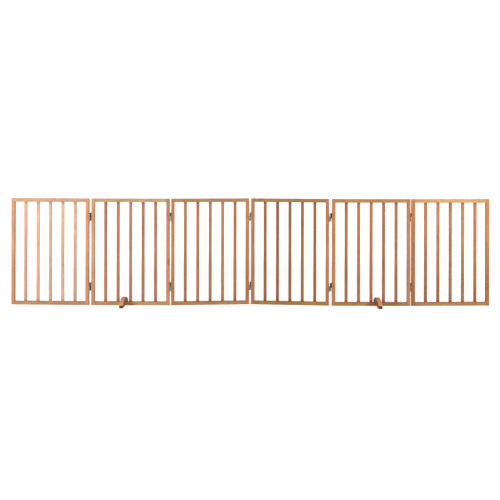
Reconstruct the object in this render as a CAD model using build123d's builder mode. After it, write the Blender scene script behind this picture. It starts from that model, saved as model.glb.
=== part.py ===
from build123d import *
import math
import os

# A free-standing folding pet gate: six slatted wooden panels, hinged edge to edge with double-action
# hinges, standing on two wooden feet that drop over the bottom rails of panels 2 and 5.
# Millimetres. +X runs along the gate, -Y is its front, +Z is up. The origin is on the floor, midway
# along the gate and midway between the ends of the feet.

# Panels
gate_height = 610.0
panel_width = 448.3
frame_depth = 20.0
stile_width = 19.5
rail_height = 19.5
slat_count = 5
slat_width = 17.0
slat_depth = 9.5
wood_edge = 1.4  # rounding along the wooden pieces
end_chamfer = 0.8

# Joinery
tenon_length = 12.0
tenon_thickness = 8.0
tenon_height = 12.5
slat_let_in = 8.0

# Hinges
seam_gap = 7.0  # between two stiles while the link stands square between them
hinge_height = 46.0
hinge_inset = 105.0  # from the panel's top or bottom edge to the hinge's middle
leaf_thickness = 1.5
leaf_reach = 8.0  # how far a leaf runs across the stile past its middle
leaf_corner = 3.0
barrel_radius = 3.25
barrel_length = 28.0
barrel_proud = 1.0  # how far a pin's axis stands outside the stile's face
knuckle_gap = 0.3
pin_radius = 1.5
pin_clearance = 0.05
pin_head_radius = 2.6
pin_head_height = 1.0
plate_clearance = 0.35
stop_radius = 2.2
stop_clearance = 0.2

# Screws
hinge_screw_spread = 30.0
hinge_screw_radius = 1.5
hinge_screw_head = 2.8
hinge_screw_length = 15.0
foot_screw_radius = 2.1
foot_screw_head = 4.2
foot_screw_length = 40.0

# Feet
foot_length = 206.0
foot_width = 22.0
foot_height = 44.0
foot_end_height = 16.5
foot_shift = 4.0  # outward from the middle of the space between two slats
foot_edge = 1.2
foot_panels = (2, 5)

# How the gate stands: the ends and the middle seam are set back from the line of panels 2 and 5
outer_set_back = 16.0
middle_set_back = 38.0
link_slants = (18.0, 0.0, 9.0, 24.0, 0.0)  # how far each seam's links lean, which widens the seam

slat_pitch = (panel_width - stile_width) / (slat_count + 1)
slat_places = [(stile_width / 2 + slat_pitch * number, 0) for number in range(1, slat_count + 1)]
left_foot_x = (slat_places[1][0] + slat_places[2][0]) / 2 - foot_shift
hinge_levels = (hinge_inset, gate_height - hinge_inset)
pin_x = seam_gap / 2 - barrel_radius
pin_y = frame_depth / 2 + barrel_proud
plate_half = pin_y - barrel_radius - plate_clearance  # half the width of the link's plate
knuckle_length = (barrel_length - 2 * knuckle_gap) / 3
outer_turn = math.degrees(math.asin(outer_set_back / panel_width))
middle_turn = math.degrees(math.asin(middle_set_back / panel_width))
seam_folds = (outer_turn, middle_turn, -2 * middle_turn, middle_turn, outer_turn)  # + is backward
front_turns = [min(fold, 0) - slant for fold, slant in zip(seam_folds, link_slants)]
back_turns = [max(fold, 0) + slant for fold, slant in zip(seam_folds, link_slants)]


def folded(left_side, front_turn, back_turn):
    """Where a seam's links and right side stand: the links turn about the front pin, then the right side
    about the back pin."""
    links = left_side * Pos(-pin_x, -pin_y) * Rot(0, 0, front_turn) * Pos(pin_x, pin_y)
    right_side = links * Pos(pin_x, pin_y) * Rot(0, 0, back_turn) * Pos(-pin_x, -pin_y)
    return links, right_side


def stand(first_panel):
    """The places of the six panels and, for each seam, of its left side, its links and its right side."""
    panels = [first_panel]
    seams = []
    for front_turn, back_turn in zip(front_turns, back_turns):
        left_side = panels[-1] * Pos(panel_width + seam_gap / 2, 0)
        links, right_side = folded(left_side, front_turn, back_turn)
        seams.append((left_side, links, right_side))
        panels.append(right_side * Pos(seam_gap / 2, 0))
    return panels, seams


def side_view(plane, x, y=0.0):
    """A plane square to a panel's length, with its own X running back and its own Y running up."""
    return Plane(origin=plane.from_local_coords((x, y, 0)), x_dir=plane.y_dir, z_dir=plane.x_dir)


def screw_seats(side, levels):
    """Where a leaf's screws enter it, each with its own +Z out of the leaf; side is -1 left or +1 right."""
    heights = [level + half * hinge_screw_spread / 2 for level in levels for half in (-1, 1)]
    face_x = side * (seam_gap / 2 - leaf_thickness)
    return [Location((face_x, 0, height), (0, -90 * side, 0)) for height in heights]


def make_stile(plane, inner, hinged):
    """An upright of a panel. inner is +1 for the left one and -1 for the right one."""
    middle_x = stile_width / 2 if inner > 0 else panel_width - stile_width / 2
    mortise_x = middle_x + inner * (stile_width - tenon_length) / 2
    hinge_edge = Plane(plane.location * Pos(0 if inner > 0 else panel_width, 0))
    with BuildPart(plane) as stile:
        with BuildSketch(plane):
            with Locations((middle_x, 0)):
                RectangleRounded(stile_width, frame_depth, wood_edge)
        extrude(amount=gate_height)
        end_faces = stile.faces().filter_by(Axis.Z)
        chamfer(end_faces.edges(), length=end_chamfer)
        with Locations(
            (mortise_x, 0, rail_height / 2),
            (mortise_x, 0, gate_height - rail_height / 2),
        ):
            Box(tenon_length, tenon_thickness, tenon_height, mode=Mode.SUBTRACT)
        if hinged:
            pilot_depth = hinge_screw_length - leaf_thickness
            for level in hinge_levels:
                for half in (-1, 1):
                    with BuildSketch(side_view(hinge_edge, 0)):
                        with Locations((0, level + half * hinge_screw_spread / 2)):
                            Circle(hinge_screw_radius)
            extrude(amount=inner * pilot_depth, mode=Mode.SUBTRACT)
    return stile.part


def make_rail(plane, top, foot_x=None):
    """A top or bottom rail, with a tenon at each end and a mortise for each slat."""
    middle_z = gate_height - rail_height / 2 if top else rail_height / 2
    mortise_z = gate_height - rail_height if top else rail_height - slat_let_in
    with BuildPart(plane) as rail:
        with BuildSketch(side_view(plane, stile_width)):
            with Locations((0, middle_z)):
                RectangleRounded(frame_depth, rail_height, wood_edge)
        extrude(amount=panel_width - 2 * stile_width)
        with Locations((panel_width / 2, 0, middle_z)):
            Box(panel_width - 2 * (stile_width - tenon_length), tenon_thickness, tenon_height)
        with BuildSketch(plane.offset(mortise_z)):
            with Locations(*slat_places):
                RectangleRounded(slat_width, slat_depth, wood_edge)
        extrude(amount=slat_let_in, mode=Mode.SUBTRACT)
        if foot_x is not None:
            with Locations((foot_x, 0, foot_height)):
                Hole(foot_screw_radius, depth=foot_screw_length)
    return rail.part


def make_slats(plane):
    """A panel's slats, let into both rails."""
    with BuildPart(plane) as slats:
        with BuildSketch(plane.offset(rail_height - slat_let_in)):
            with Locations(*slat_places):
                RectangleRounded(slat_width, slat_depth, wood_edge)
        extrude(amount=gate_height - 2 * (rail_height - slat_let_in))
    return slats.part


def make_foot(plane, foot_x):
    """An arched foot, notched from below so that it drops over the bottom rail."""
    half = foot_length / 2
    with BuildPart(plane) as foot:
        with BuildSketch(side_view(plane, foot_x - foot_width / 2)):
            with BuildLine():
                Polyline((-half, foot_end_height), (-half, 0), (half, 0), (half, foot_end_height))
                ThreePointArc((half, foot_end_height), (0, foot_height), (-half, foot_end_height))
            make_face()
        extrude(amount=foot_width)
        fillet(foot.edges().filter_by(GeomType.CIRCLE), foot_edge)
        end_faces = foot.faces().sort_by(Axis(plane.origin, plane.y_dir))
        fillet(end_faces[0].edges() + end_faces[-1].edges(), foot_edge)
        with Locations((foot_x, 0, rail_height / 2)):
            Box(foot_width, frame_depth, rail_height, mode=Mode.SUBTRACT)
        with Locations((foot_x, 0, foot_height)):
            CounterSinkHole(foot_screw_radius, foot_screw_head, depth=foot_height, counter_sink_angle=90)
    return foot.part


def make_screws(plane, seats, radius, head_radius, length):
    """Countersunk wood screws with a pointed end and a cross recess, one driven into each seat."""
    recess_depth = 0.6 * (head_radius - radius)
    with BuildPart(plane) as screws:
        with Locations(*seats):
            Cylinder(radius, length - 2 * radius, align=(Align.CENTER, Align.CENTER, Align.MAX))
            Cone(radius, head_radius, head_radius - radius, align=(Align.CENTER, Align.CENTER, Align.MAX))
        with Locations(*[seat * Pos(0, 0, 2 * radius - length) for seat in seats]):
            Cone(0, radius, 2 * radius, align=(Align.CENTER, Align.CENTER, Align.MAX))
        with Locations(*seats):
            for turn in (0, 90):
                Box(
                    1.2 * head_radius,
                    0.22 * head_radius,
                    recess_depth,
                    rotation=(0, 0, turn),
                    align=(Align.CENTER, Align.CENTER, Align.MAX),
                    mode=Mode.SUBTRACT,
                )
    return screws.part


def barrel_middle(side, level):
    """The height of a barrel's middle: the front one is at the hinge's foot, the back one at its head."""
    return level + side * (hinge_height - barrel_length) / 2


def make_leaves(plane, side):
    """The top and bottom leaves on one side of a seam, each a plate with two knuckles round its pin."""
    plate_x = side * (seam_gap - leaf_thickness) / 2
    with BuildPart(plane) as leaves:
        for level in hinge_levels:
            with Locations((plate_x, side * (plate_half - leaf_reach) / 2, level)):
                plate = Box(leaf_thickness, plate_half + leaf_reach, hinge_height)
            across = Axis(plane.origin, plane.x_dir)
            outer_corners = plate.edges().filter_by(across).sort_by(Axis(plane.origin, -side * plane.y_dir))[-2:]
            fillet(outer_corners, leaf_corner)
            for end in (-1, 1):
                knuckle_z = barrel_middle(side, level) + end * (knuckle_length + knuckle_gap)
                with BuildSketch(plane.offset(knuckle_z - knuckle_length / 2)):
                    with Locations((side * pin_x, side * pin_y)):
                        Circle(barrel_radius)
                    with Locations((plate_x, side * (pin_y + plate_half) / 2)):
                        Rectangle(leaf_thickness, pin_y - plate_half)
                    with Locations((side * pin_x, side * pin_y)):
                        Circle(pin_radius + pin_clearance, mode=Mode.SUBTRACT)
                extrude(amount=knuckle_length)
        with Locations(*screw_seats(side, hinge_levels)):
            CounterSinkHole(hinge_screw_radius, hinge_screw_head, depth=leaf_thickness, counter_sink_angle=90)
    return leaves.part


def make_links(plane):
    """The two link plates of a seam, each with a knuckle on both pins and a stop stud through it."""
    stud_length = seam_gap - 2 * (leaf_thickness + stop_clearance)
    with BuildPart(plane) as links:
        for level in hinge_levels:
            with Locations((0, 0, level)):
                Box(leaf_thickness, 2 * plate_half, hinge_height)
                Cylinder(stop_radius, stud_length, rotation=(0, 90, 0))
            for side in (-1, 1):
                knuckle_z = barrel_middle(side, level)
                with BuildSketch(plane.offset(knuckle_z - knuckle_length / 2)):
                    with Locations((side * pin_x, side * pin_y)):
                        Circle(barrel_radius)
                    with Locations((0, side * (pin_y + plate_half) / 2)):
                        Rectangle(leaf_thickness, pin_y - plate_half)
                    with Locations((side * pin_x, side * pin_y)):
                        Circle(pin_radius, mode=Mode.SUBTRACT)
                extrude(amount=knuckle_length)
    return links.part


def make_pins(plane):
    """The four pins of a seam, each with a rounded head at both ends of its barrel."""
    head_offset = barrel_length / 2 + knuckle_gap + pin_head_height / 2
    with BuildPart(plane) as pins:
        for level in hinge_levels:
            for side in (-1, 1):
                with Locations((side * pin_x, side * pin_y, barrel_middle(side, level))):
                    Cylinder(pin_radius, barrel_length + 2 * knuckle_gap)
                    with Locations((0, 0, head_offset), (0, 0, -head_offset)):
                        Cylinder(pin_head_radius, pin_head_height)
        rims = pins.edges().filter_by(GeomType.CIRCLE).filter_by(lambda edge: edge.radius > pin_radius + 0.1)
        fillet(rims, pin_head_height * 0.4)
    return pins.part


def save(part, name):
    """Labels a finished piece and writes it."""
    part.label = name
    export_step(part, f"parts/{name}.step")


os.makedirs("parts", exist_ok=True)

# Stand the chain of panels up once from its first panel, then again with its middle on the origin
rough_panels, _ = stand(Location((0, 0, 0), (0, 0, -outer_turn)))
far_end = rough_panels[-1] * Pos(panel_width, 0)
start = Pos(-far_end.position.X / 2, -rough_panels[1].position.Y) * Rot(0, 0, -outer_turn)
panel_places, seam_places = stand(start)

for number, place in enumerate(panel_places, start=1):
    plane = Plane(place)
    name = f"panel_{number}"
    has_left_hinge = number > 1
    has_right_hinge = number < len(panel_places)
    foot_x = None
    if number in foot_panels:
        foot_x = left_foot_x if number == foot_panels[0] else panel_width - left_foot_x
    save(make_stile(plane, 1, has_left_hinge), f"{name}_left_stile")
    save(make_stile(plane, -1, has_right_hinge), f"{name}_right_stile")
    save(make_rail(plane, top=True), f"{name}_top_rail")
    save(make_rail(plane, top=False, foot_x=foot_x), f"{name}_bottom_rail")
    save(make_slats(plane), f"{name}_slats")
    seats = []
    if has_left_hinge:
        seats += [Pos(-seam_gap / 2, 0) * seat for seat in screw_seats(1, hinge_levels)]
    if has_right_hinge:
        seats += [Pos(panel_width + seam_gap / 2, 0) * seat for seat in screw_seats(-1, hinge_levels)]
    screws = make_screws(plane, seats, hinge_screw_radius, hinge_screw_head, hinge_screw_length)
    save(screws, f"{name}_hinge_screws")
    if foot_x is not None:
        foot_name = "left_foot" if number == foot_panels[0] else "right_foot"
        save(make_foot(plane, foot_x), foot_name)
        seat = Location((foot_x, 0, foot_height))
        screw = make_screws(plane, [seat], foot_screw_radius, foot_screw_head, foot_screw_length)
        save(screw, f"{foot_name}_screw")

for number, (left_side, links_place, right_side) in enumerate(seam_places, start=1):
    save(make_leaves(Plane(left_side), -1), f"hinge_{number}_left_leaves")
    save(make_leaves(Plane(right_side), 1), f"hinge_{number}_right_leaves")
    save(make_links(Plane(links_place)), f"hinge_{number}_links")
    save(make_pins(Plane(links_place)), f"hinge_{number}_pins")
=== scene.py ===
import math

import bpy
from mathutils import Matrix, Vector


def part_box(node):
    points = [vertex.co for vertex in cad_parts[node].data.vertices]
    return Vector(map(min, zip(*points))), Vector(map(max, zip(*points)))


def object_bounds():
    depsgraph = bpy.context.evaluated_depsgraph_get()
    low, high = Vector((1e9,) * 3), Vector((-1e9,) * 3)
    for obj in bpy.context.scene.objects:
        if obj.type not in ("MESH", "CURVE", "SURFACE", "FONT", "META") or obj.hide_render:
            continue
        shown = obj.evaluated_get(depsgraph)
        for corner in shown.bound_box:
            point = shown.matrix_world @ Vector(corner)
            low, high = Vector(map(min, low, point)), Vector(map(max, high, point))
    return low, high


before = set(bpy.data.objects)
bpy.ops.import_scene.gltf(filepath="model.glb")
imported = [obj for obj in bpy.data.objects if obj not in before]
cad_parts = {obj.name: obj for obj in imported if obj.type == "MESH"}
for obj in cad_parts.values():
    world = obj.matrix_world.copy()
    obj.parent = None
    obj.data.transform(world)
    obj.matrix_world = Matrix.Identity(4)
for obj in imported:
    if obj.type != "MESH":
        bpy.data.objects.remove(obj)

cad_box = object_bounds()

# The gate's own measures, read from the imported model
PANELS = range(1, 7)
gate_low, gate_high = cad_box
gate_height = gate_high.z - gate_low.z
stile_low, stile_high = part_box("panel_2_left_stile")
stile_width = stile_high.x - stile_low.x
frame_depth = stile_high.y - stile_low.y
panel_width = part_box("panel_2_right_stile")[1].x - stile_low.x
rail_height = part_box("panel_2_bottom_rail")[1].z
STICKS = 7  # two stiles and five slats, evenly spaced
stick_pitch = (panel_width - stile_width) / (STICKS - 1)

# Display colours from 0 to 255 of each panel's stiles, slats and rails, and the share its colour
# deepens by towards the floor
PANEL_TONES = {
    1: ((205, 140, 105), (210, 160, 135), (195, 145, 110), 0.1),
    2: ((205, 145, 110), (180, 120, 90), (200, 155, 110), 0.0),
    3: ((205, 135, 90), (190, 125, 85), (195, 140, 90), 0.1),
    4: ((190, 125, 85), (170, 105, 60), (180, 130, 75), 0.0),
    5: ((205, 135, 90), (185, 115, 75), (195, 135, 75), 0.05),
    6: ((200, 130, 80), (200, 125, 75), (210, 150, 95), 0.3),
}
FOOT_TONE = (220, 155, 120)
KNOT_TONE = (122, 66, 38)

# How the stain takes: shares of a tone's red, green and blue; then the painted shade on the narrow faces
# and where slats meet the rails
DARK_GRAIN = (0.82, 0.74, 0.66)
PALE_GRAIN = (1.09, 1.12, 1.12)
ROUNDED_EDGE = (1.08, 1.10, 1.10)
END_GRAIN = (0.50, 0.36, 0.26)
NARROW_FACE_PAINTED_SHADE = 0.52  # painted shade on the narrow faces, as a share of the broad faces' brightness
RAIL_JOINT_PAINTED_SHADE = 0.66  # painted shade: the brightness where a slat meets a rail
RAIL_JOINT_SHADE_REACH = 0.018  # metres from the rail that the painted shade reaches

# How the grain is laid out; the scales are per metre
GRAIN_STRETCH = 0.055  # a pattern's scale along the grain, as a share of its scale across it
KNOT_SCALE = 7.0
KNOT_SCALE_ALONG = 3.1
FIGURE_SCALE = 20.0
RING_COUNT = 17.0  # growth rings in the whole range of the figure
STREAK_SCALE = 260.0
FIBRE_SCALE = 1500.0
DRIFT_SCALE = 5.0
BLOTCH_SCALE = 38.0
PORE_SCALE = 900.0
STICK_SHIFT = 37.0  # metres at most between the places where two sticks sample the patterns

# Display colours of the darkest and lightest plating on each kind of metal, the lightest on the hinges and
# pins also standing in for a painted glint, and of the painted glints and the edges worn bare
HINGE_PLATING_AND_GLINT_TONES = ((62, 64, 50), (172, 172, 152))
PIN_PLATING_AND_GLINT_TONES = ((92, 92, 80), (186, 184, 168))
SCREW_TONES = ((58, 54, 50), (98, 92, 84))
GLINT_AND_WEAR_TONE = (214, 212, 196)


def linear(colour):
    """A display colour from 0 to 255 as the linear colour that a shader socket takes."""
    shares = [value / 255 for value in colour]
    light = [share / 12.92 if share < 0.04045 else ((share + 0.055) / 1.055) ** 2.4 for share in shares]
    return light + [1.0]


def toned(colour, shares):
    """A display colour with each of its three parts scaled, as a linear colour."""
    return linear([value * share for value, share in zip(colour, shares)])


def new_tree(name):
    """An empty node material and its tree."""
    material = bpy.data.materials.new(name)
    material.use_nodes = True
    material.node_tree.nodes.clear()
    return material, material.node_tree


def add(tree, kind, inputs=None, **settings):
    """Adds a shader node, sets its settings, and gives each input a link or a value."""
    made = tree.nodes.new("ShaderNode" + kind)
    for key, value in settings.items():
        setattr(made, key, value)
    for key, value in (inputs or {}).items():
        if isinstance(value, bpy.types.NodeSocket):
            tree.links.new(value, made.inputs[key])
        else:
            made.inputs[key].default_value = value
    return made


def maths(tree, operation, first, second=0.0, third=0.0):
    """One Math node's result."""
    made = add(tree, "Math", {0: first, 1: second, 2: third}, operation=operation)
    return made.outputs[0]


def ramp(tree, value, low, high, start=0.0, end=1.0):
    """A value carried smoothly from start to end while it goes from low to high."""
    made = add(
        tree,
        "MapRange",
        {"Value": value, "From Min": low, "From Max": high, "To Min": start, "To Max": end},
        interpolation_type="SMOOTHSTEP",
    )
    return made.outputs["Result"]


def tint(tree, colour, factor, other):
    """One colour mixed into another."""
    made = add(tree, "Mix", {0: factor, 6: colour, 7: other}, data_type="RGBA", blend_type="MIX")
    return made.outputs[2]


def noise(tree, place, scale, detail=2.0, roughness=0.5, distortion=0.0):
    """A noise value at a place."""
    inputs = {
        "Vector": place,
        "Scale": scale,
        "Detail": detail,
        "Roughness": roughness,
        "Distortion": distortion,
    }
    return add(tree, "TexNoise", inputs).outputs[0]


def stretched(tree, place, scale):
    """A place multiplied axis by axis."""
    return add(tree, "VectorMath", {0: place, 1: scale}, operation="MULTIPLY").outputs[0]


def scaled(tree, vector, factor):
    """A vector or colour multiplied by one factor."""
    return add(tree, "VectorMath", {0: vector, "Scale": factor}, operation="SCALE").outputs[0]


def normal_parts(tree, coordinates):
    """The sizes of the surface normal's three parts, in the piece's own frame."""
    parts = add(tree, "SeparateXYZ", {0: coordinates.outputs["Normal"]})
    return [maths(tree, "ABSOLUTE", parts.outputs[axis]) for axis in range(3)]


def rounding_mask(tree, parts):
    """1 on a rounded edge or corner, 0 on the flat faces."""
    largest = maths(tree, "MAXIMUM", maths(tree, "MAXIMUM", parts[0], parts[1]), parts[2])
    return ramp(tree, largest, 0.86, 0.985, 1.0, 0.0)


def wood(name, tone, fade, grain, cell_axis, cell_middle, cell_step, seed, shaded_at_rails=False):
    """Stained and varnished wood. fade is the share it deepens by towards the floor and grain is the axis
    that the grain runs along. The sticks lie cell_step apart along cell_axis, counted from cell_middle, and
    each has a figure of its own. Sticks let in to rails get painted shade at their ends, where they meet
    the rails."""
    material, tree = new_tree(name)
    coordinates = add(tree, "TexCoord")
    place = coordinates.outputs["Object"]
    along = [1.0, 1.0, 1.0]
    along[grain] = GRAIN_STRETCH

    split = add(tree, "SeparateXYZ", {0: place})
    steps = maths(tree, "DIVIDE", maths(tree, "SUBTRACT", split.outputs[cell_axis], cell_middle), cell_step)
    cell = maths(tree, "ADD", maths(tree, "ROUND", steps), seed)
    chance = add(tree, "TexWhiteNoise", {"W": cell}, noise_dimensions="1D")
    shift = scaled(tree, chance.outputs["Color"], STICK_SHIFT)
    own_place = add(tree, "VectorMath", {0: place, 1: shift}, operation="ADD").outputs[0]

    # Knots: a few dark ovals, which also bend the growth rings round them
    knot_scale = [KNOT_SCALE] * 3
    knot_scale[grain] = KNOT_SCALE_ALONG
    knot_place = stretched(tree, own_place, knot_scale)
    knot_reach = add(tree, "TexVoronoi", {"Vector": knot_place, "Scale": 1.0, "Randomness": 1.0})
    knot_distance = knot_reach.outputs["Distance"]
    knot_core = ramp(tree, knot_distance, 0.035, 0.085, 1.0, 0.0)
    knot_pull = ramp(tree, knot_distance, 0.03, 0.35, 0.35, 0.0)

    # Growth rings are contour lines of a smooth noise drawn out along the grain
    figure = noise(tree, stretched(tree, own_place, along), FIGURE_SCALE, 2.0, 0.45, 0.25)
    contours = maths(tree, "MULTIPLY", maths(tree, "ADD", figure, knot_pull), RING_COUNT)
    rings = maths(tree, "PINGPONG", contours, 0.5)
    ring_lines = ramp(tree, rings, 0.0, 0.5)
    streaks = noise(tree, stretched(tree, own_place, along), STREAK_SCALE, 4.0, 0.6)
    fibres = noise(tree, stretched(tree, own_place, along), FIBRE_SCALE, 2.0, 0.7)
    drift = noise(tree, own_place, DRIFT_SCALE, 2.0, 0.5)
    blotches = noise(tree, own_place, BLOTCH_SCALE, 3.0, 0.55)

    # From 0, the darkest and reddest of the stain, to 1, the palest
    shade = maths(tree, "MULTIPLY", ring_lines, 0.22)
    for value, share in ((streaks, 0.60), (fibres, 0.22), (drift, 0.70), (blotches, 0.30)):
        shade = maths(tree, "MULTIPLY_ADD", maths(tree, "SUBTRACT", value, 0.5), share, shade)
    stick_tone = maths(tree, "SUBTRACT", chance.outputs["Value"], 0.5)
    shade = maths(tree, "MULTIPLY_ADD", stick_tone, 0.22, shade)
    shade = maths(tree, "ADD", shade, 0.39)
    shade = maths(tree, "MINIMUM", maths(tree, "MAXIMUM", shade, 0.0), 1.0)
    colour = tint(tree, toned(tone, DARK_GRAIN), shade, toned(tone, PALE_GRAIN))
    colour = tint(tree, colour, maths(tree, "MULTIPLY", knot_core, 0.6), linear(KNOT_TONE))

    height = split.outputs[2]
    depth = ramp(tree, height, 0.0, gate_height, 1.0 - fade, 1.0)
    # Painted shade at the ends of a slat, where it meets the rails
    if shaded_at_rails:
        to_rail = maths(tree, "MINIMUM", height, maths(tree, "SUBTRACT", gate_height, height))
        rail_joint_shade = ramp(tree, to_rail, rail_height, rail_height + RAIL_JOINT_SHADE_REACH, RAIL_JOINT_PAINTED_SHADE, 1.0)
        depth = maths(tree, "MULTIPLY", depth, rail_joint_shade)
    colour = scaled(tree, colour, depth)

    # The stick's two narrow faces get painted shade, the stain is thin on the rounded edges and soaks deep
    # into the end grain
    parts = normal_parts(tree, coordinates)
    narrow_face_painted_shade = ramp(tree, parts[cell_axis], 0.8, 0.95, 1.0, NARROW_FACE_PAINTED_SHADE)
    colour = scaled(tree, colour, narrow_face_painted_shade)
    worn = maths(tree, "MULTIPLY", rounding_mask(tree, parts), ramp(tree, blotches, 0.42, 0.62, 0.15, 0.55))
    colour = tint(tree, colour, worn, toned(tone, ROUNDED_EDGE))
    end_grain = ramp(tree, parts[grain], 0.75, 0.9)
    pores = ramp(tree, noise(tree, own_place, PORE_SCALE, 2.0, 0.6), 0.35, 0.7, 0.75, 1.0)
    end_tint = scaled(tree, toned(tone, END_GRAIN)[:3], pores)
    colour = tint(tree, colour, end_grain, end_tint)

    gloss = ramp(tree, streaks, 0.3, 0.7, 0.52, 0.38)
    gloss = maths(tree, "MULTIPLY_ADD", end_grain, 0.25, gloss)
    relief = maths(tree, "MULTIPLY_ADD", streaks, 0.7, maths(tree, "MULTIPLY", fibres, 0.5))
    relief = maths(tree, "MULTIPLY_ADD", ring_lines, 0.18, relief)
    relief = maths(tree, "MULTIPLY_ADD", knot_core, -0.5, relief)
    bump = add(tree, "Bump", {"Strength": 0.35, "Distance": 0.00035, "Height": relief})
    surface = add(
        tree,
        "BsdfPrincipled",
        {
            "Base Color": colour,
            "Roughness": gloss,
            "Normal": bump.outputs[0],
            "Specular IOR Level": 0.18,
            "Coat Weight": 0.04,
            "Coat Roughness": 0.3,
        },
    )
    add(tree, "OutputMaterial", {"Surface": surface.outputs[0]})
    return material


def metal(name, tones, roughness, glint_and_wear_share):
    """Plated steel, mottled from dark to light, the light end on the hinges and pins a painted glint,
    finely brushed, with painted glints in spots and edges worn bright.
    """
    dark, light = tones
    material, tree = new_tree(name)
    coordinates = add(tree, "TexCoord")
    place = coordinates.outputs["Object"]
    mottle_and_glints = noise(tree, stretched(tree, place, (1.0, 1.0, 0.7)), 190.0, 3.0, 0.6)
    brushing = noise(tree, stretched(tree, place, (1.0, 1.0, 0.05)), 3200.0, 2.0, 0.6)
    glint_noise = noise(tree, stretched(tree, place, (1.0, 1.0, 0.6)), 230.0, 4.0, 0.65)
    # The mottle runs from dark plating to light; on the hinges and pins its lightest end is a painted glint
    colour = tint(tree, linear(dark), ramp(tree, mottle_and_glints, 0.35, 0.7), linear(light))
    parts = normal_parts(tree, coordinates)
    # Painted glints in spots, and edges worn bright
    glints_and_wear = maths(tree, "MULTIPLY", ramp(tree, glint_noise, 0.5, 0.62), glint_and_wear_share)
    edge_wear = maths(tree, "MULTIPLY", rounding_mask(tree, parts), glint_and_wear_share * 0.6)
    glints_and_wear = maths(tree, "MAXIMUM", glints_and_wear, edge_wear)
    colour = tint(tree, colour, glints_and_wear, linear(GLINT_AND_WEAR_TONE))
    gloss = ramp(tree, mottle_and_glints, 0.3, 0.7, roughness - 0.08, roughness + 0.12)
    relief = maths(tree, "MULTIPLY_ADD", brushing, 0.5, mottle_and_glints)
    bump = add(tree, "Bump", {"Strength": 0.3, "Distance": 0.0001, "Height": relief})
    surface = add(
        tree,
        "BsdfPrincipled",
        {"Base Color": colour, "Metallic": 0.6, "Roughness": gloss, "Normal": bump.outputs[0]},
    )
    add(tree, "OutputMaterial", {"Surface": surface.outputs[0]})
    return material


def dress(node, material):
    """Gives a CAD node its finish."""
    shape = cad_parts[node].data
    shape.materials.clear()
    shape.materials.append(material)


def dress_wood():
    """Each panel's stiles, slats and rails, and the two feet."""
    for number in PANELS:
        name = f"panel_{number}"
        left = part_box(f"{name}_left_stile")
        sticks = (0, (left[0].x + left[1].x) / 2, stick_pitch, 11.0 * number)
        stile_tone, slat_tone, rail_tone, fade = PANEL_TONES[number]
        stiles = wood(f"{name}_stile_wood", stile_tone, fade, 2, *sticks)
        dress(f"{name}_left_stile", stiles)
        dress(f"{name}_right_stile", stiles)
        dress(f"{name}_slats", wood(f"{name}_slat_wood", slat_tone, fade, 2, *sticks, shaded_at_rails=True))
        rails = wood(f"{name}_rail_wood", rail_tone, fade, 0, 2, 0.0, gate_height, 11.0 * number + 100.0)
        dress(f"{name}_top_rail", rails)
        dress(f"{name}_bottom_rail", rails)
    foot_wood = wood("foot_wood", FOOT_TONE, 0.0, 1, 0, 0.0, gate_high.x, 300.0)
    dress("left_foot", foot_wood)
    dress("right_foot", foot_wood)


def dress_metal():
    """The hinges' leaves, links and pins, and all the screws."""
    hinge_metal = metal("hinge_metal", HINGE_PLATING_AND_GLINT_TONES, 0.36, 0.8)
    pin_metal = metal("pin_metal", PIN_PLATING_AND_GLINT_TONES, 0.32, 0.8)
    screw_metal = metal("screw_metal", SCREW_TONES, 0.34, 0.5)
    for seam in range(1, len(PANELS)):
        for piece in ("left_leaves", "right_leaves", "links"):
            dress(f"hinge_{seam}_{piece}", hinge_metal)
        dress(f"hinge_{seam}_pins", pin_metal)
    for number in PANELS:
        dress(f"panel_{number}_hinge_screws", screw_metal)
    dress("left_foot_screw", screw_metal)
    dress("right_foot_screw", screw_metal)


def make_floor():
    """A plain pale floor, wide enough to fill every view. It throws less light back at the gate than the
    camera sees, so that the gate keeps its shading."""
    half = 40.0
    gap = 0.0005  # under the soles, so that the two surfaces don't coincide
    mesh = bpy.data.meshes.new("floor")
    corners = [(-half, -half, 0), (half, -half, 0), (half, half, 0), (-half, half, 0)]
    mesh.from_pydata(corners, [], [(0, 1, 2, 3)])
    floor = bpy.data.objects.new("floor", mesh)
    floor.location.z = gate_low.z - gap
    bpy.context.collection.objects.link(floor)
    material, tree = new_tree("pale_floor")
    place = add(tree, "TexCoord").outputs["Object"]
    seen = add(tree, "LightPath").outputs["Is Camera Ray"]
    shade = ramp(tree, noise(tree, place, 3.0), 0.0, 1.0, 0.93, 0.97)
    shade = maths(tree, "MULTIPLY", shade, maths(tree, "MULTIPLY_ADD", seen, 0.45, 0.55))

    # The lights fade with distance, so the floor makes up for it
    reach = add(tree, "VectorMath", {0: place}, operation="LENGTH").outputs["Value"]
    glow = ramp(tree, reach, 1.2, 2.6, 0.58, 0.95)
    glow = maths(tree, "MULTIPLY", glow, maths(tree, "MULTIPLY_ADD", seen, 0.8, 0.2))
    colour = add(tree, "CombineXYZ", {0: shade, 1: shade, 2: shade}).outputs[0]
    surface = add(
        tree,
        "BsdfPrincipled",
        {
            "Base Color": colour,
            "Roughness": 0.9,
            "Emission Color": (1.0, 1.0, 1.0, 1.0),
            "Emission Strength": glow,
        },
    )
    add(tree, "OutputMaterial", {"Surface": surface.outputs[0]})
    mesh.materials.append(material)


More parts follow.
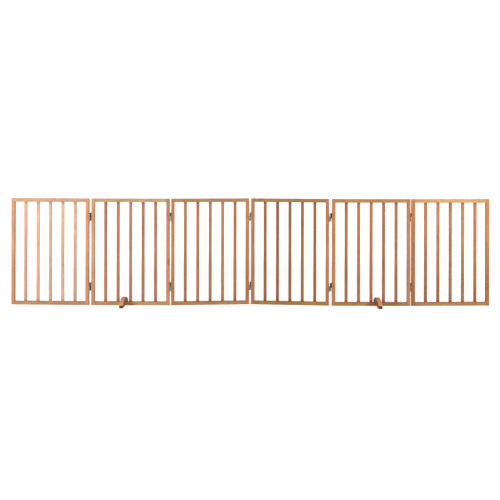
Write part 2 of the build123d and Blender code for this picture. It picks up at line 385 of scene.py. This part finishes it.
def make_world():
    """White studio surroundings, seen as pure white but lighting the gate more softly."""
    world = bpy.data.worlds.new("studio")
    world.use_nodes = True
    tree = world.node_tree
    tree.nodes.clear()
    rays = add(tree, "LightPath")
    strength = maths(tree, "MULTIPLY_ADD", rays.outputs["Is Camera Ray"], 0.78, 0.22)
    sky = add(tree, "Background", {"Color": (1.0, 1.0, 1.0, 1.0), "Strength": strength})
    add(tree, "OutputWorld", {"Surface": sky.outputs[0]})
    bpy.context.scene.world = world


def soft_box(name, place, target, size, power, colour):
    """A soft light aimed at a point, in metres and watts."""
    data = bpy.data.lights.new(name, "AREA")
    data.shape = "RECTANGLE"
    data.size, data.size_y = size
    data.energy = power
    data.color = colour
    light = bpy.data.objects.new(name, data)
    light.location = place
    light.rotation_mode = "QUATERNION"
    light.rotation_quaternion = (Vector(target) - Vector(place)).to_track_quat("-Z", "Y")
    bpy.context.collection.objects.link(light)


def make_lights():
    """A soft light in front of each end, the left one stronger and warmer, and a long weak one overhead."""
    warm = (1.0, 0.99, 0.97)
    white = (1.0, 1.0, 1.0)
    for name, side, power, colour in (("left", -1, 60.0, warm), ("right", 1, 45.0, white)):
        soft_box(name, (side * 2.5, -1.9, 0.95), (side * 0.7, 0.0, 0.3), (0.7, 0.7), power, colour)
    soft_box("top", (0.0, -0.8, 3.0), (0.0, 0.0, gate_height / 2), (4.0, 0.8), 22.0, white)


def make_camera():
    """A level camera in front of the gate; the lens is shifted down so that the uprights stay upright."""
    distance = 5.0  # from the gate's front face
    height = 0.965
    offset = -0.0027  # to the left of the gate's middle
    roll = -0.12  # degrees
    image_width = 2.862  # what the frame takes in at the gate's front face
    horizon = 0.226  # how far the horizon lies above the picture's middle, as a share of the width
    data = bpy.data.cameras.new("camera")
    data.sensor_width = 36.0
    data.lens = data.sensor_width * distance / image_width
    data.shift_y = -horizon
    camera = bpy.data.objects.new("camera", data)
    camera.location = (offset, -frame_depth / 2 - distance, height)
    camera.rotation_euler = (math.radians(90.0), math.radians(roll), 0.0)
    bpy.context.collection.objects.link(camera)
    bpy.context.scene.camera = camera


dress_wood()
dress_metal()
make_floor()
make_world()
make_lights()
make_camera()
bpy.context.scene.view_settings.view_transform = "Standard"
